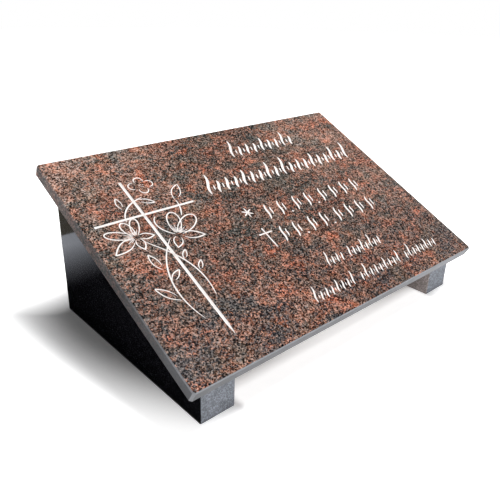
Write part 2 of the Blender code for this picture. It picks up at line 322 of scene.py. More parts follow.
class HeadstoneSupportSettings(bpy.types.PropertyGroup):
    """Sizes and colours of the two supports."""

    chamfer: FloatProperty(
        name="Chamfer", description="Width of the chamfer along the support's edges",
        default=2 * MM, min=0.0, soft_max=0.005, unit="LENGTH", precision=4,
    )
    chamfer_segments: IntProperty(
        name="Chamfer Segments", description="Faces across the chamfer", default=3, min=1, max=6,
    )
    polished: FloatVectorProperty(
        name="Polished Stone", description="Colour of the polished outer side", subtype="COLOR",
        default=(0.004, 0.004, 0.005), min=0, max=1,
    )
    sawn: FloatVectorProperty(
        name="Sawn Stone", description="Colour of the sawn front, back and lower faces", subtype="COLOR",
        default=(0.185, 0.20, 0.23), min=0, max=1,
    )
    # A painted bounce: the sides that face each other are lighter and warmer than the other sawn faces, in
    # place of the warm light that the slab's red underside throws onto them
    inner: FloatVectorProperty(
        name="Inner Side", description="Colour of the sawn sides that face each other", subtype="COLOR",
        default=(0.30, 0.26, 0.25), min=0, max=1,
    )


class HeadstoneStageSettings(bpy.types.PropertyGroup):
    """Floor and light around the headstone."""

    floor: FloatVectorProperty(
        name="Floor", description="Colour of the floor", subtype="COLOR",
        default=(0.88, 0.88, 0.88), min=0, max=1,
    )
    floor_radius: FloatProperty(
        name="Floor Radius", description="Reach of the floor round the headstone",
        default=6.0, min=1.0, unit="LENGTH",
    )
    key_power: FloatProperty(
        name="Key Power", description="Strength of the soft light above",
        default=82, min=0, unit="POWER",
    )
    ambient: FloatProperty(
        name="Ambient", description="Strength of the light from all round", default=0.10, min=0, max=2,
    )
    front_power: FloatProperty(
        name="Front Power", description="Strength of the soft light in front",
        default=15, min=0, unit="POWER",
    )
    # Painted light: the floor's glow in front of the slab, which lifts the slab's shadow there
    glow: FloatProperty(
        name="Floor Glow", description="Light that comes up through the floor in front of the slab",
        default=0.9, min=0, max=2,
    )
    # Painted light: the floor's glow all round the slab's shade, which ends the shadow at the shade's rim
    surround: FloatProperty(
        name="Surround Glow", description="Light that comes up through the floor all round the shade",
        default=0.9, min=0, max=2,
    )


class Finish:
    """A procedural material. Most methods add nodes and return the socket that they give."""

    def __init__(self, name):
        self.material = bpy.data.materials.new(name)
        self.material.use_nodes = True
        self.tree = self.material.node_tree
        self.surface = self.tree.nodes["Principled BSDF"]
        self.place = self.add("ShaderNodeTexCoord").outputs["Object"]

    def add(self, kind, sockets=None, **settings):
        node = self.tree.nodes.new(kind)
        for name, value in settings.items():
            setattr(node, name, value)
        for socket, value in (sockets or {}).items():
            self.feed(node.inputs[socket], value)
        return node

    def feed(self, socket, value):
        if isinstance(value, bpy.types.NodeSocket):
            self.tree.links.new(value, socket)
        else:
            socket.default_value = value

    def turned(self, place, turn=(0, 0, 0), stretch=(1, 1, 1)):
        sockets = {"Vector": place, "Rotation": turn, "Scale": stretch}
        return self.add("ShaderNodeMapping", sockets).outputs["Vector"]

    def onto(self, placed):
        """Object coordinates seen from a frame that is placed in the model, such as the slab's own."""
        inverse = placed.inverted()
        sockets = {
            "Vector": self.place,
            "Location": inverse.to_translation(),
            "Rotation": inverse.to_euler(),
        }
        return self.add("ShaderNodeMapping", sockets).outputs["Vector"]

    def noise(self, place, scale, detail=3, roughness=0.5, output="Fac"):
        sockets = {"Vector": place, "Scale": scale, "Detail": detail, "Roughness": roughness}
        return self.add("ShaderNodeTexNoise", sockets).outputs[output]

    def cells(self, place, scale):
        """A colour for each cell of a pattern of crystals, with three independent values in its channels."""
        return self.add("ShaderNodeTexVoronoi", {"Vector": place, "Scale": scale}).outputs["Color"]

    def channel(self, colour, name="Red"):
        return self.add("ShaderNodeSeparateColor", {"Color": colour}).outputs[name]

    def axis(self, vector, name):
        return self.add("ShaderNodeSeparateXYZ", {"Vector": vector}).outputs[name]

    def maths(self, operation, a, b=0.0, clamp=False):
        node = self.add("ShaderNodeMath", {0: a, 1: b}, operation=operation, use_clamp=clamp)
        return node.outputs[0]

    def vector_maths(self, operation, *values):
        return self.add("ShaderNodeVectorMath", dict(enumerate(values)), operation=operation)

    def blend_of(self, *parts):
        """The sum of values, each times its share."""
        total = 0.0
        for value, share in parts:
            sockets = {0: value, 1: share, 2: total}
            total = self.add("ShaderNodeMath", sockets, operation="MULTIPLY_ADD").outputs[0]
        return total

    def warped(self, place, scale, reach):
        """The place moved about by a soft noise, so that round cells turn into uneven crystals."""
        noise = self.noise(place, scale, 2, output="Color")
        centred = self.vector_maths("SUBTRACT", noise, (0.5, 0.5, 0.5)).outputs[0]
        return self.vector_maths("MULTIPLY_ADD", centred, (reach, reach, reach), place).outputs[0]

    def band(self, value, low, high, to_low=0.0, to_high=1.0, curve="LINEAR"):
        """The value between two limits, spread over another range."""
        sockets = {"Value": value, "From Min": low, "From Max": high, "To Min": to_low, "To Max": to_high}
        return self.add("ShaderNodeMapRange", sockets, interpolation_type=curve).outputs["Result"]

    def oval(self, centre, spread, inner, outer, inside, outside):
        """One value in an oval and another outside it, with a soft passage between two rims."""
        offset = self.vector_maths("SUBTRACT", self.place, centre).outputs[0]
        scaled = self.vector_maths("MULTIPLY", offset, spread).outputs[0]
        distance = self.vector_maths("LENGTH", scaled).outputs["Value"]
        return self.band(distance, inner, outer, inside, outside, "SMOOTHSTEP")

    def mix(self, share, a, b, blend="MIX"):
        node = self.add("ShaderNodeMix", data_type="RGBA", blend_type=blend)
        for socket, value in ((node.inputs[0], share), (node.inputs[6], a), (node.inputs[7], b)):
            self.feed(socket, value)
        return node.outputs[2]

    def times(self, colour, factors):
        return self.mix(1.0, colour, factors, "MULTIPLY")

    def tinted(self, share, colour, tint):
        """The colour with its channels multiplied by the tint's, by as much as the share says."""
        return self.mix(share, colour, self.times(colour, (*tint, 1)))

    def ramp(self, value, stops):
        node = self.add("ShaderNodeValToRGB", {"Fac": value})
        elements = node.color_ramp.elements
        while len(elements) < len(stops):
            elements.new(1.0)
        for element, (position, colour) in zip(elements, stops):
            element.position = position
            element.color = colour
        return node.outputs["Color"]

    def grey(self, value):
        return self.add("ShaderNodeCombineColor", {0: value, 1: value, 2: value}).outputs[0]

    def bump(self, height, strength, distance):
        sockets = {"Height": height, "Strength": strength, "Distance": distance}
        normal = self.add("ShaderNodeBump", sockets).outputs["Normal"]
        self.feed(self.surface.inputs["Normal"], normal)

    def coat(self, colour, roughness, ior=1.5):
        """Sets the surface's colour and gloss, and returns the finished material."""
        self.feed(self.surface.inputs["Base Color"], colour)
        self.feed(self.surface.inputs["Roughness"], roughness)
        self.surface.inputs["IOR"].default_value = ior
        return self.material


def solid(colour, value=1.0):
    """A setting's colour as a socket takes it, made lighter or darker."""
    return (*[channel * value for channel in colour], 1)


class RedGranite(Finish):
    """The slab's stone, on places in the slab's own frame, so its grains run through all of its faces."""

    def __init__(self, name, settings, placed):
        super().__init__(name)
        self.settings = settings
        self.place = self.onto(placed)
        self.across = self.maths("ABSOLUTE", self.axis(self.place, "X"))
        self.up_slope = self.axis(self.place, "Y")
        crystals = self.cells(self.warped(self.place, 240, 0.0022), CRYSTALS)
        self.grains = self.channel(crystals, "Red")
        self.kinds = self.channel(crystals, "Green")
        self.flakes = self.channel(crystals, "Blue")
        self.mottle = self.band(self.noise(self.place, MOTTLE, 3, 0.7), 0.36, 0.64)
        # Darker just behind its front edge, and paler towards the back and its corners: partly paler stone,
        # partly a painted sheen where the polished face gives back more light
        front_tone = self.band(self.up_slope, 0.0, 0.14, 0.01, -0.02)
        back_sheen_and_tone = self.band(self.up_slope, 0.16, 0.40, 0.0, 0.15)
        corners = self.band(self.across, 0.05, 0.25, 0.2, 1.8)
        self.back = self.blend_of((front_tone, 1.0), (back_sheen_and_tone, corners))
        self.flow = self.warped(self.turned(self.place, (0, 0, radians(-28)), (1.0, 1.7, 1.0)), 22, 0.03)
        self.drift = 0.0
        for middle, slope, wide, deep in STONE_DRIFTS:
            near = self.oval((middle, slope, 0), (1 / wide, 1 / deep, 0), *DRIFT_FADE, 1.0, 0.0)
            self.drift = self.maths("MAXIMUM", self.drift, near)

    def stone(self):
        """Salmon, brown and pale grains with grey-green drifts and blue-black clusters."""
        return self.with_flecks(self.with_clusters(self.with_drifts(self.grain_colour())))

    def grain_colour(self):
        """The grains by their tone, with orange patches."""
        patches = self.noise(self.warped(self.place, 60, 0.008), PATCHES, 3, 0.55)
        patches = self.band(patches, 0.44, 0.62)
        regions = self.band(self.noise(self.place, REGIONS, 3, 0.6), 0.35, 0.65, -0.09, 0.09)
        tone = self.blend_of(
            (self.grains, 0.36), (self.mottle, 0.36), (patches, 0.10), (self.back, 1.0), (regions, 1.0),
        )
        colour = self.ramp(self.maths("ADD", tone, 0.21), (
            (DARK_TONE, solid(self.settings.dark)),
            (BROWN_TONE, solid(self.settings.brown)),
            (SALMON_TONE, solid(self.settings.feldspar)),
            (PALE_TONE, solid(self.settings.feldspar, PALE_VALUE)),
            (QUARTZ_TONE, solid(self.settings.quartz)),
        ))
        warmth = self.blend_of((patches, 0.85), (self.band(self.kinds, 0.5, 1.0), 0.06))
        return self.tinted(warmth, colour, ORANGE_TINT)

    def with_drifts(self, colour):
        """Rusty and pale regions, and grey-green drifts that flow across the slab."""
        rust = self.noise(self.warped(self.place, 30, 0.015), RUST, 3, 0.6)
        rust = self.band(rust, 0.48, 0.62, 0.0, 0.9)
        colour = self.tinted(rust, colour, RUST_TINT)
        colour = self.tinted(self.maths("SUBTRACT", 0.55, rust, clamp=True), colour, PALE_TINT)
        greens = self.band(self.noise(self.flow, GREENS, 4, 0.65), 0.50, 0.62, 0.0, 0.8)
        greens = self.maths("ADD", greens, self.band(self.kinds, 0.40, 0.1, 0.0, 0.10))
        greens = self.maths("ADD", greens, self.maths("MULTIPLY", self.drift, 0.4), clamp=True)
        return self.tinted(greens, colour, GREEN_TINT)

    def with_clusters(self, colour):
        """Blue-black clusters and single dark flakes, greener up the slope."""
        streaks = self.noise(self.flow, STREAKS, 3, 0.6)
        clusters = self.noise(self.flow, CLUSTERS, 4, 0.65)
        gathered = self.blend_of(
            (streaks, 0.42), (clusters, 0.8), (self.flakes, 0.22), (self.mottle, 0.06), (self.drift, 0.07),
        )
        gathered = self.band(gathered, 0.835, 0.865, 0.0, 0.92)
        lone = self.blend_of((self.flakes, 1.0), (streaks, -0.9), (self.back, 0.5), (self.drift, -0.05))
        lone = self.band(lone, -0.26, -0.33, 0.0, 0.85)
        dark = solid(self.settings.cluster)
        dark = self.mix(self.band(self.up_slope, 0.06, 0.16), dark, self.times(dark, (*TEAL_TINT, 1)))
        return self.mix(self.maths("MAXIMUM", gathered, lone), colour, dark)

    def with_flecks(self, colour):
        """Fine bright flecks, fine dark specks, and a pale painted sheen that grows towards the slab's
        sides.
        """
        specks = self.channel(self.cells(self.place, SPECKS))
        bright = self.blend_of(
            (self.band(specks, 0.45, 1.0, 0.0, 0.22), 1.0),
            (self.band(self.grains, 0.55, 1.0, 0.0, 0.12), 1.0),
            # A painted sheen: an even pale wash towards the slab's sides
            (self.band(self.across, 0.08, 0.27, 0.0, 0.045), 1.0),
        )
        colour = self.mix(bright, colour, FLECK_AND_SHEEN_COLOUR)
        speck_shade = self.band(specks, 0.06, 0.6, 0.02, 1.15)
        grain_shade = self.band(self.grains, 0.0, 0.6, 0.35, 1.06)
        return self.times(colour, self.grey(self.maths("MULTIPLY", speck_shade, grain_shade)))


def polished_red_granite(settings, placed):
    finish = RedGranite("polished_red_granite", settings, placed)
    polish = finish.band(finish.noise(finish.place, 300, 3), 0.35, 0.7, 0.05, 0.12)
    return finish.coat(finish.stone(), polish, 1.52)


def sawn_red_granite(settings, placed):
    """The same stone on the slab's underside, dull and paler from the saw."""
    finish = RedGranite("sawn_red_granite", settings, placed)
    dusty = finish.mix(0.35, finish.stone(), SAW_DUST)
    grain = finish.noise(finish.place, 900, 4, 0.7)
    finish.bump(grain, 0.35, 0.0008)
    return finish.coat(dusty, finish.band(grain, 0.3, 0.7, 0.65, 0.85))


def honed_edge(settings, placed, name, value, grains, ends):
    """Grey stone of a honed face. The coloured grains show faintly, and more so towards the back. Painted
    shade makes it darker midway up the slope and lighter near its front and back and towards the right end.
    """
    finish = RedGranite(name, settings, placed)
    place = finish.place
    clouds = finish.band(finish.noise(place, 35, 4, 0.6), 0.3, 0.7)
    base = finish.mix(clouds, solid(settings.edge, 0.86 * value), solid(settings.edge, 1.12 * value))
    specks = finish.band(finish.noise(place, 420, 3, 0.6), 0.56, 0.66)
    colour = finish.mix(finish.maths("MULTIPLY", specks, 0.5), base, solid(settings.edge, 0.45 * value))
    # Painted shade and light: darker midway up the slope, lighter near the front and back, and along the
    # width as the ends give
    from_middle = finish.maths("ABSOLUTE", finish.maths("SUBTRACT", finish.up_slope, SHEET[1] * MM / 2))
    along = finish.band(finish.axis(place, "X"), 0.05, 0.2, *ends)
    shade = finish.maths("MULTIPLY", finish.band(from_middle, 0.04, 0.17, 0.65, 1.3), along)
    colour = finish.times(colour, finish.grey(shade))
    colour = finish.mix(finish.band(finish.up_slope, 0.0, 0.4, 0.0, grains), colour, finish.stone())
    grain = finish.noise(place, 1200, 3, 0.6)
    finish.bump(grain, 0.15, 0.0005)
    finish.surface.inputs["Specular IOR Level"].default_value = 0.2
    return finish.coat(colour, finish.band(grain, 0.3, 0.7, 0.5, 0.7))


def engraving_paint(settings):
    """Matt white stone paint, a little uneven where the brush left it."""
    finish = Finish("engraving_paint")
    patches = finish.band(finish.noise(finish.place, 160, 4, 0.6), 0.3, 0.75)
    colour = finish.mix(patches, solid(settings.paint), solid(settings.paint, 0.9))
    grain = finish.noise(finish.place, 1500, 3, 0.6)
    finish.bump(grain, 0.2, 0.0004)
    return finish.coat(colour, finish.band(grain, 0.3, 0.7, 0.5, 0.7))


def polished_black_granite(settings):
    finish = Finish("polished_black_granite")
    flecks = finish.channel(finish.cells(finish.warped(finish.place, 200, 0.003), 520))
    colour = finish.ramp(flecks, (
        (0.0, solid(settings.polished, 0.6)),
        (0.7, solid(settings.polished)),
        (0.9, solid(settings.polished, 2.2)),
        (1.0, solid(settings.polished, 5)),
    ))
    polish = finish.band(finish.noise(finish.place, 240, 3), 0.3, 0.7, 0.04, 0.09)
    return finish.coat(colour, polish, 1.6)


def sawn_dark_granite(colour, name):
    """Sawn faces with fine dark pits and faint marks of the saw."""
    finish = Finish(name)
    place = finish.place
    grains = finish.channel(finish.cells(finish.warped(place, 300, 0.002), 620))
    base = finish.ramp(grains, (
        (0.0, solid(colour, 0.5)),
        (0.5, solid(colour, 0.9)),
        (1.0, solid(colour, 1.5)),
    ))
    clouds = finish.band(finish.noise(place, 30, 4, 0.6), 0.3, 0.7, 0.0, 0.4)
    base = finish.mix(clouds, base, solid(colour, 0.75))
    pits = finish.band(finish.noise(place, 380, 3, 0.65), 0.60, 0.68)
    pitted = finish.mix(finish.maths("MULTIPLY", pits, 0.75), base, solid(colour, 0.2))
    grain = finish.noise(place, 1000, 4, 0.7)
    saw = finish.noise(finish.turned(place, stretch=(1, 1, 14)), 60, 2)
    height = finish.maths("SUBTRACT", finish.maths("ADD", grain, saw), pits)
    finish.bump(height, 0.4, 0.0008)
    return finish.coat(pitted, finish.band(grain, 0.3, 0.7, 0.7, 0.9))


def node_mesh(node):
    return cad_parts[node].data


def largest_face(node, wanted):
    """The normal of the node's largest flat face among those wanted, and how far out it lies."""
    areas, reach = {}, {}
    mesh = node_mesh(node)
    for face in mesh.polygons:
        if wanted(face.normal):
            key = tuple(round(part, 3) for part in face.normal)
            areas[key] = areas.get(key, 0) + face.area
            reach[key] = (face.normal.copy(), face.normal.dot(face.center))
    return reach[max(areas, key=areas.get)]


def slab_frame():
    """The slab's own frame, and its width, depth and thickness. The origin is the middle of the upper front
    edge, +Y runs up the slope and +Z off the face."""
    up, _ = largest_face("inscription_slab", lambda normal: normal.z > 0.5)
    right = Vector((1, 0, 0))
    back = up.cross(right)
    turn = Matrix((right, back, up))
    corners = [turn @ vertex.co for vertex in node_mesh("inscription_slab").vertices]
    low = Vector([min(corner[k] for corner in corners) for k in range(3)])
    high = Vector([max(corner[k] for corner in corners) for k in range(3)])
    origin = turn.transposed() @ Vector(((low.x + high.x) / 2, low.y, high.z))
    placed = Matrix.Translation(origin) @ turn.transposed().to_4x4()
    return placed, high - low


def new_mesh(name, bm, materials):
    mesh = bpy.data.meshes.new(name)
    bm.to_mesh(mesh)
    bm.free()
    for material in materials:
        mesh.materials.append(material)
    return mesh


def new_object(name, mesh):
    obj = bpy.data.objects.new(name, mesh)
    bpy.context.scene.collection.objects.link(obj)
    return obj


def beside(base, direction, forward, sideways):
    """A point so far forward from the base in a direction, and so far to its left."""
    axis = Vector((cos(direction), sin(direction)))
    return base + axis * forward + Vector((-axis.y, axis.x)) * sideways


def evenly(count):
    """Even steps from zero to one."""
    return [k / count for k in range(count + 1)]


def resampled(path, count):
    """The same path in a number of even segments, and both its ends kept."""
    lengths = [(b - a).length for a, b in zip(path, path[1:])]
    total = sum(lengths)
    points = [path[0]]
    index, passed = 0, 0.0
    for share in evenly(count)[1:-1]:
        while passed + lengths[index] < total * share:
            passed += lengths[index]
            index += 1
        points.append(path[index].lerp(path[index + 1], (total * share - passed) / lengths[index]))
    return points + [path[-1]]


def cubic(start, handle_a, handle_b, end):
    """A smooth curve between two ends, pulled towards its two handles."""
    points = []
    for t in evenly(STEM_STEPS):
        weights = ((1 - t) ** 3, 3 * t * (1 - t) ** 2, 3 * t * t * (1 - t), t ** 3)
        ends_and_handles = (start, handle_a, handle_b, end)
        points.append(sum((w * p for w, p in zip(weights, ends_and_handles)), Vector((0, 0))))
    return points


def petal(centre, direction, length, width, round_tip):
    """An outline that leaves the flower's centre, goes round the tip, and comes back short of the centre."""
    points = []
    for share in evenly(PETAL_STEPS):
        turn = PETAL_OPENING + (1 - 2 * PETAL_OPENING) * share
        if round_tip:
            reach = (1 - cos(2 * pi * turn)) / 2
            side = sin(2 * pi * turn) * sin(pi * turn) ** 0.5
        else:
            reach = 1 - abs(2 * turn - 1)
            side = sin(pi * reach) * (1 if turn < 0.5 else -1)
        points.append(beside(centre, direction, length * reach, width / 2 * side))
    return points


def leaf(base, tip, width):
    """The outline of a pointed leaf: out to the tip along one bowed edge, and most of the way back."""
    direction = atan2(tip.y - base.y, tip.x - base.x)
    length = (tip - base).length
    out = [beside(base, direction, length * t, width / 2 * sin(pi * t)) for t in evenly(LEAF_STEPS)]
    back = []
    for share in evenly(LEAF_STEPS)[1:]:
        t = 1 - LEAF_SECOND_SIDE * share
        back.append(beside(base, direction, length * t, -width / 2 * sin(pi * t)))
    return out + back


def arc(centre, radius, first, last):
    """An arc from one direction to another."""
    return [beside(centre, first + (last - first) * t, radius, 0) for t in evenly(ARC_STEPS)]


def leaning_stroke(u, v, height, bow):
    """A pen stroke that leans with the row and bows first to one side and then to the other."""
    length = height / cos(STROKE_LEAN)
    foot = Vector((u, v))
    direction = pi / 2 - STROKE_LEAN
    return [beside(foot, direction, length * t, bow * sin(2 * pi * t)) for t in evenly(STROKE_STEPS)]


class Engraving:
    """Collects every groove as a closed V-shaped prism, all in one cutter mesh."""

    def __init__(self):
        self.bm = bmesh.new()

    def corners(self, point, normal, width):
        half = width / 2 + CUTTER_RISE / (2 * GROOVE_DEPTH)
        left, right = point + normal * half, point - normal * half
        return (
            Vector((left.x, left.y, CUTTER_RISE)),
            Vector((point.x, point.y, -width * GROOVE_DEPTH)),
            Vector((right.x, right.y, CUTTER_RISE)),
        )

    def cut(self, path, widths):
        """One groove with a width at each point of its path. A width of zero makes a pointed end."""
        last = len(path) - 1
        groove = bmesh.new()
        section = None
        for k, (point, width) in enumerate(zip(path, widths)):
            tangent = (path[min(k + 1, last)] - path[max(k - 1, 0)]).normalized()
            normal = Vector((-tangent.y, tangent.x))
            corners = self.corners(point, normal, width if width > 0 else RUNOUT)
            if section is None:
                section = groove.faces.new([groove.verts.new(corner) for corner in corners])
                start = section.copy()
                start.normal_flip()
                continue
            swept = bmesh.ops.extrude_discrete_faces(groove, faces=[section])
            section = swept["faces"][0]
            for vertex, corner in zip(section.verts, corners):
                vertex.co = corner
        bmesh.ops.remove_doubles(groove, verts=groove.verts, dist=TINY)
        bmesh.ops.recalc_face_normals(groove, faces=groove.faces)
        groove_mesh = bpy.data.meshes.new("groove")
        groove.to_mesh(groove_mesh)
        groove.free()
        self.bm.from_mesh(groove_mesh)
        bpy.data.meshes.remove(groove_mesh)

    def pen(self, path, width, segments):
        """A groove that swells from a point to its full width and thins to a point again."""
        self.cut(resampled(path, segments), [width * (4 * t * (1 - t)) ** SWELL for t in evenly(segments)])

    def draw_cross(self):
        for line in (CROSS_UPRIGHT, CROSS_ARM):
            self.cut([Vector(point[:2]) for point in line], [point[2] for point in line])

    def draw_flowers(self):
        for centre, petals in ((LEFT_FLOWER, LEFT_PETALS), (RIGHT_FLOWER, RIGHT_PETALS)):
            for direction, length, width, round_tip in petals:
                outline = petal(Vector(centre), radians(direction), length, width, round_tip)
                self.pen(outline, PETAL_LINE, PETAL_SEGMENTS)
        for direction, distance, radius in BLOSSOM_PETALS:
            facing = radians(direction)
            middle = beside(Vector(SMALL_BLOSSOM), facing, distance, 0)
            half = radians(BLOSSOM_ARC) / 2
            self.pen(arc(middle, radius, facing - half, facing + half), LEAF_LINE, ARC_SEGMENTS)

    def draw_stamens(self):
        for centre, first, last, count, inner, outer in STAMENS:
            for k in range(count):
                direction = radians(first + (last - first) * k / (count - 1))
                reach = outer * (1 - STAMEN_STAGGER * (k % 2))
                ends = [beside(Vector(centre), direction, radius, 0) for radius in (inner, reach)]
                self.pen(ends, STAMEN_LINE, TICK_SEGMENTS)

    def draw_stems_and_leaves(self):
        for points in STEMS:
            self.pen(cubic(*[Vector(p) for p in points]), STEM_LINE, STEM_SEGMENTS)
        for base, tip, width in LEAVES:
            self.pen(leaf(Vector(base), Vector(tip), width), LEAF_LINE, LEAF_SEGMENTS)

    def draw_script_row(self, start, baseline, low, tall, pitch, line, groups):
        """Groups of leaning pen strokes of changing height, each with a short free stroke beside it."""
        u = start
        place = 0
        for count in groups:
            for k in range(count):
                height = low + (tall - low) * ROW_RHYTHM[place % len(ROW_RHYTHM)]
                self.pen(leaning_stroke(u, baseline, height, STROKE_BOW * height), line, STROKE_SEGMENTS)
                if k < count - 1:
                    tick = low * TICK_SHARE
                    tick_u = u + pitch / 2 + (low - tick) / 2 * tan(STROKE_LEAN)
                    tick_v = baseline + (low - tick) / 2
                    self.pen(leaning_stroke(tick_u, tick_v, tick, 0), line / 2, TICK_SEGMENTS)
                u += pitch
                place += 1
            u += pitch * GROUP_GAP

    def draw_paired_row(self, start, baseline, height, pitch, line):
        """Groups of a full and a half stroke side by side, bowed the same way, with a dot between groups."""
        u = start
        for group, count in enumerate(PAIRED_GROUPS):
            if group:
                dot = Vector((u - pitch * DOT_SPACE, baseline + line / 2))
                half = Vector((line * DOT_HALF_WIDTH, 0))
                self.cut([dot - half, dot, dot + half], (0, line, 0))
                u += pitch * DOT_SPACE
            for _ in range(count):
                self.pen(leaning_stroke(u, baseline, height, -STROKE_BOW * height), line, STROKE_SEGMENTS)
                short = height * SECOND_HEIGHT
                rise = (height - short) / 2
                second_u = u + pitch * SECOND_OFFSET + rise * tan(STROKE_LEAN)
                second = leaning_stroke(second_u, baseline + rise, short, -STROKE_BOW * short)
                self.pen(second, line * SECOND_LINE, STROKE_SEGMENTS)
                u += pitch

    def draw_signs(self):
        u, v, radius = STAR
        for k in range(3):
            ends = [beside(Vector((u, v)), pi / 2 + k * pi / 3, reach, 0) for reach in (-radius, radius)]
            self.pen(ends, STAR_LINE, STROKE_SEGMENTS)
        for ends in SMALL_CROSS:
            self.cut([Vector(end) for end in ends], (SMALL_CROSS_LINE, SMALL_CROSS_LINE))

    def draw_all(self):
        self.draw_cross()
        self.draw_flowers()
        self.draw_stamens()
        self.draw_stems_and_leaves()
        for row in SCRIPT_ROWS:
            self.draw_script_row(*row)
        for row in PAIRED_ROWS:
            self.draw_paired_row(*row)
        self.draw_signs()

    def in_slab_frame(self, width, depth, material_index):
        """The finished cutter in the slab's own frame and metres, its faces marked with the paint's slot."""
        unit = min(width / SHEET[0], depth / SHEET[1])
        bmesh.ops.translate(self.bm, vec=(-SHEET[0] / 2, -SHEET[1] / 2, 0), verts=self.bm.verts)
        bmesh.ops.scale(self.bm, vec=(unit, unit, unit), verts=self.bm.verts)
        bmesh.ops.translate(self.bm, vec=(0, depth / 2, 0), verts=self.bm.verts)
        for face in self.bm.faces:
            face.material_index = material_index
        return self.bm


def carved(block, cutter):
    """The block's mesh with the cutter taken out of it. Faces keep the slots of the body they come from."""
    carving = block.modifiers.new("Engraving", "BOOLEAN")
    carving.object = cutter
    carving.operation = "DIFFERENCE"
    carving.solver = "EXACT"
    carving.use_self = True
    carving.material_mode = "INDEX"
    depsgraph = bpy.context.evaluated_depsgraph_get()
    mesh = bpy.data.meshes.new_from_object(block.evaluated_get(depsgraph))
    if len(mesh.polygons) <= len(block.data.polygons):
        raise RuntimeError("the engraving didn't cut the slab")
    for spent in (block, cutter):
        bpy.data.objects.remove(spent, do_unlink=True)
    return mesh


def chamfered(bm, edges, width, segments=1):
    bmesh.ops.bevel(
        bm, geom=edges, offset=width, offset_type="OFFSET", affect="EDGES",
        segments=segments, profile=0.5, material=-1,
    )


def slab_block(size, corner_chamfer, chamfer):
    """The plain slab in its own frame, with a material slot for each kind of face."""
    bm = bmesh.new()
    bmesh.ops.create_cube(bm, size=1)
    bmesh.ops.scale(bm, vec=size, verts=bm.verts)
    bmesh.ops.translate(bm, vec=(0, size.y / 2, -size.z / 2), verts=bm.verts)
    upright = [edge for edge in bm.edges if edge.verts[0].co.xy == edge.verts[1].co.xy]
    chamfered(bm, upright, corner_chamfer)
    chamfered(bm, [edge for edge in bm.edges if edge.calc_face_angle() > RIM_ANGLE], chamfer)
    bmesh.ops.recalc_face_normals(bm, faces=bm.faces)
    for face in bm.faces:
        if face.normal.z > 1 - TINY:
            face.material_index = FACE
        elif face.normal.z < TINY - 1:
            face.material_index = UNDERSIDE
        elif abs(face.normal.y) > 1 - TINY:
            face.material_index = EDGE
        elif abs(face.normal.x) > 1 - TINY:
            face.material_index = SIDE
        else:
            face.material_index = CHAMFER
    return bm


class HEADSTONE_OT_add_slab(bpy.types.Operator):
    """Build the engraved slab over its CAD node"""

    bl_idname = "headstone.add_slab"
    bl_label = "Add Slab"

    def execute(self, context):
        settings = context.scene.headstone_slab
        placed, size = slab_frame()
        materials = (
            polished_red_granite(settings, placed),
            sawn_red_granite(settings, placed),
            *[honed_edge(settings, placed, *face) for face in HONED_FACES],
            engraving_paint(settings),
        )
        block_bm = slab_block(size, settings.corner_chamfer, settings.chamfer)
        block = new_object("slab_block", new_mesh("slab_block", block_bm, materials))
        engraving = Engraving()
        engraving.draw_all()
        cutter_bm = engraving.in_slab_frame(size.x, size.y, PAINT)
        cutter = new_object("engraving_cutter", new_mesh("engraving_cutter", cutter_bm, materials))
        mesh = carved(block, cutter)
        mesh.transform(placed)
        slab = new_object("granite_slab", mesh)
        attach(slab, "root")
        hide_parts("inscription_slab")
        return {"FINISHED"}


def support_block(node, outward, chamfer, segments):
    """A wedge in the node's box, cut off along the node's sloping top, with a slot for each finish."""
    low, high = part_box(node)
    bm = bmesh.new()
    bmesh.ops.create_cube(bm, size=1)
    bmesh.ops.scale(bm, vec=high - low, verts=bm.verts)
    bmesh.ops.translate(bm, vec=(low + high) / 2, verts=bm.verts)
    slope, reach = largest_face(node, lambda normal: 0.5 < normal.z < 0.99)
    everything = bm.verts[:] + bm.edges[:] + bm.faces[:]
    cut = bmesh.ops.bisect_plane(
        bm, geom=everything, plane_co=slope * reach, plane_no=slope, clear_outer=True,
    )
    rim = [part for part in cut["geom_cut"] if isinstance(part, bmesh.types.BMEdge)]
    bmesh.ops.edgenet_fill(bm, edges=rim)
    bmesh.ops.recalc_face_normals(bm, faces=bm.faces)
    chamfered(bm, bm.edges[:], chamfer, segments)
    for face in bm.faces:
        facing = face.normal.x * outward
        face.material_index = POLISHED if facing > 0.5 else INNER if facing < -0.5 else SAWN
    return bm


class HEADSTONE_OT_add_supports(bpy.types.Operator):
    """Build the two wedge-shaped supports over their CAD nodes"""

    bl_idname = "headstone.add_supports"
    bl_label = "Add Supports"

    def execute(self, context):
        settings = context.scene.headstone_supports
        materials = (
            polished_black_granite(settings),
            sawn_dark_granite(settings.sawn, "sawn_dark_granite"),
            # A lighter, warmer copy of the sawn stone for the inner sides: painted bounce light
            sawn_dark_granite(settings.inner, "sawn_granite_painted_bounce"),
        )
        for side, outward in (("left", -1), ("right", 1)):
            node = f"{side}_support"
            bm = support_block(node, outward, settings.chamfer, settings.chamfer_segments)
            stone = new_object(f"{side}_wedge", new_mesh(f"{side}_wedge", bm, materials))
            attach(stone, "root")
            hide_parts(node)
        return {"FINISHED"}


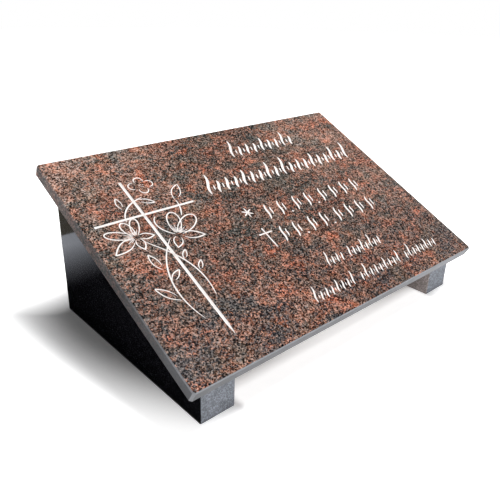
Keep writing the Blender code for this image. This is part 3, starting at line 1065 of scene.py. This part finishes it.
def floor_paint(settings):
    """Pale matt floor, pure white far off, with a painted glow that lifts and shapes the slab's shadow."""
    finish = Finish("studio_floor")
    far = finish.band(finish.vector_maths("LENGTH", finish.place).outputs["Value"], *WHITE_FROM)
    patches = finish.band(finish.noise(finish.place, 3, 3), 0.3, 0.7)
    colour = finish.mix(patches, solid(settings.floor), solid(settings.floor, 0.985))
    finish.coat(colour, 0.7)
    # Painted light: glows that lift the slab's shadow in front of it, below its front edge and at its left
    # back corner, and that end the shadow at the rim of the shade
    front = finish.oval(*GLOW_OVAL, settings.glow, 0.0)
    around = finish.oval(*SHADE_OVAL, SHADE_GLOW, settings.surround)
    corner = finish.oval(*CORNER_OVAL, settings.surround, 0.0)
    below = finish.band(finish.axis(finish.place, "Y"), *UNDER_EDGE, 0.0, settings.glow)
    for side in UNDER_SIDES:
        below = finish.maths("MULTIPLY", below, finish.band(finish.axis(finish.place, "X"), *side))
    front = finish.maths("MAXIMUM", front, finish.maths("MULTIPLY", below, UNDER_SHARE))
    glow = finish.maths("MAXIMUM", front, finish.maths("MAXIMUM", around, corner))
    finish.feed(finish.surface.inputs["Emission Color"], (1, 1, 1, 1))
    finish.feed(finish.surface.inputs["Emission Strength"], finish.maths("ADD", far, glow))
    return finish.material


def card_paint():
    """Painted reflection: black paint that glows in the bands that the support's polished side mirrors."""
    finish = Finish("reflection_card")
    black, first, last, edge = CARD_STOPS
    back = finish.axis(finish.place, "Y")
    rise = finish.maths("POWER", finish.band(back, black, first, 0.0, CARD_PEAK), CARD_POWER)
    shown = finish.mix(finish.band(back, last, edge), finish.times(finish.grey(rise), CARD_PALE), CARD_DARK)
    finish.coat((0, 0, 0, 1), 1.0)
    finish.surface.inputs["Specular IOR Level"].default_value = 0
    finish.feed(finish.surface.inputs["Emission Color"], shown)
    finish.surface.inputs["Emission Strength"].default_value = 1
    return finish.material


def add_reflection_card():
    """A low card beside the left support that only the gloss of the stones can see, a painted reflection."""
    low, high = CARD_CORNERS
    bm = bmesh.new()
    bmesh.ops.create_grid(bm, x_segments=1, y_segments=1, size=0.5)
    bmesh.ops.scale(bm, vec=(high[0] - low[0], high[1] - low[1], 1), verts=bm.verts)
    bmesh.ops.translate(bm, vec=((low[0] + high[0]) / 2, (low[1] + high[1]) / 2, MM), verts=bm.verts)
    card = new_object("reflection_card", new_mesh("reflection_card", bm, (card_paint(),)))
    card.visible_camera = False
    card.visible_diffuse = False
    card.visible_shadow = False


def add_area_light(name, lamp_place, size, power):
    lamp = bpy.data.lights.new(name, "AREA")
    lamp.shape = "RECTANGLE"
    lamp.size, lamp.size_y = size
    lamp.energy = power
    light = new_object(name, lamp)
    light.location = lamp_place
    light.rotation_euler = (Vector(LIT_MIDDLE) - Vector(lamp_place)).to_track_quat("-Z", "Y").to_euler()


def add_camera():
    camera = new_object("photo_camera", bpy.data.cameras.new("photo_camera"))
    camera.data.sensor_width = CAMERA_SENSOR
    camera.data.lens = CAMERA_LENS
    camera.data.shift_x, camera.data.shift_y = CAMERA_SHIFT
    turn = Matrix.Rotation(-CAMERA_YAW, 4, "Z") @ Matrix.Rotation(pi / 2 - CAMERA_PITCH, 4, "X")
    camera.matrix_world = Matrix.Translation(CAMERA_PLACE) @ turn @ Matrix.Rotation(CAMERA_ROLL, 4, "Z")
    bpy.context.scene.camera = camera


def set_world(ambient):
    """White for the camera, and a weaker even light for everything else."""
    world = bpy.data.worlds.new("studio")
    world.use_nodes = True
    tree = world.node_tree
    light = tree.nodes["Background"]
    light.inputs["Color"].default_value = AMBIENT_COLOUR
    light.inputs["Strength"].default_value = ambient
    seen = tree.nodes.new("ShaderNodeBackground")
    seen.inputs["Color"].default_value = (1, 1, 1, 1)
    path = tree.nodes.new("ShaderNodeLightPath")
    mix = tree.nodes.new("ShaderNodeMixShader")
    tree.links.new(path.outputs["Is Camera Ray"], mix.inputs[0])
    tree.links.new(light.outputs[0], mix.inputs[1])
    tree.links.new(seen.outputs[0], mix.inputs[2])
    tree.links.new(mix.outputs[0], tree.nodes["World Output"].inputs["Surface"])
    bpy.context.scene.world = world


class HEADSTONE_OT_add_stage(bpy.types.Operator):
    """Build the floor, the soft lights and the camera"""

    bl_idname = "headstone.add_stage"
    bl_label = "Add Stage"

    def execute(self, context):
        settings = context.scene.headstone_stage
        bm = bmesh.new()
        bmesh.ops.create_circle(bm, cap_ends=True, radius=settings.floor_radius, segments=96)
        floor = new_object("studio_floor", new_mesh("studio_floor", bm, (floor_paint(settings),)))
        add_area_light("key_light", *KEY_LIGHT, settings.key_power)
        add_area_light("front_light", *FRONT_LIGHT, settings.front_power)
        add_reflection_card()
        set_world(settings.ambient)
        add_camera()
        context.scene.view_settings.view_transform = "Standard"
        return {"FINISHED"}


class HEADSTONE_PT_panel(bpy.types.Panel):
    """Sizes, colours and buttons of the headstone"""

    bl_label = "Headstone"
    bl_idname = "HEADSTONE_PT_panel"
    bl_space_type = "VIEW_3D"
    bl_region_type = "UI"
    bl_category = "Headstone"

    def draw(self, context):
        scene = context.scene
        groups = (
            ("headstone.add_slab", scene.headstone_slab),
            ("headstone.add_supports", scene.headstone_supports),
            ("headstone.add_stage", scene.headstone_stage),
        )
        for operator, settings in groups:
            box = self.layout.box()
            box.operator(operator)
            for name in settings.__annotations__:
                box.prop(settings, name)


CLASSES = (
    HeadstoneSlabSettings,
    HeadstoneSupportSettings,
    HeadstoneStageSettings,
    HEADSTONE_OT_add_slab,
    HEADSTONE_OT_add_supports,
    HEADSTONE_OT_add_stage,
    HEADSTONE_PT_panel,
)


def register():
    for cls in CLASSES:
        bpy.utils.register_class(cls)
    bpy.types.Scene.headstone_slab = PointerProperty(type=HeadstoneSlabSettings)
    bpy.types.Scene.headstone_supports = PointerProperty(type=HeadstoneSupportSettings)
    bpy.types.Scene.headstone_stage = PointerProperty(type=HeadstoneStageSettings)


def unregister():
    del bpy.types.Scene.headstone_stage
    del bpy.types.Scene.headstone_supports
    del bpy.types.Scene.headstone_slab
    for cls in reversed(CLASSES):
        bpy.utils.unregister_class(cls)


def main():
    register()
    bpy.ops.headstone.add_slab()
    bpy.ops.headstone.add_supports()
    bpy.ops.headstone.add_stage()


if __name__ == "__main__":
    main()
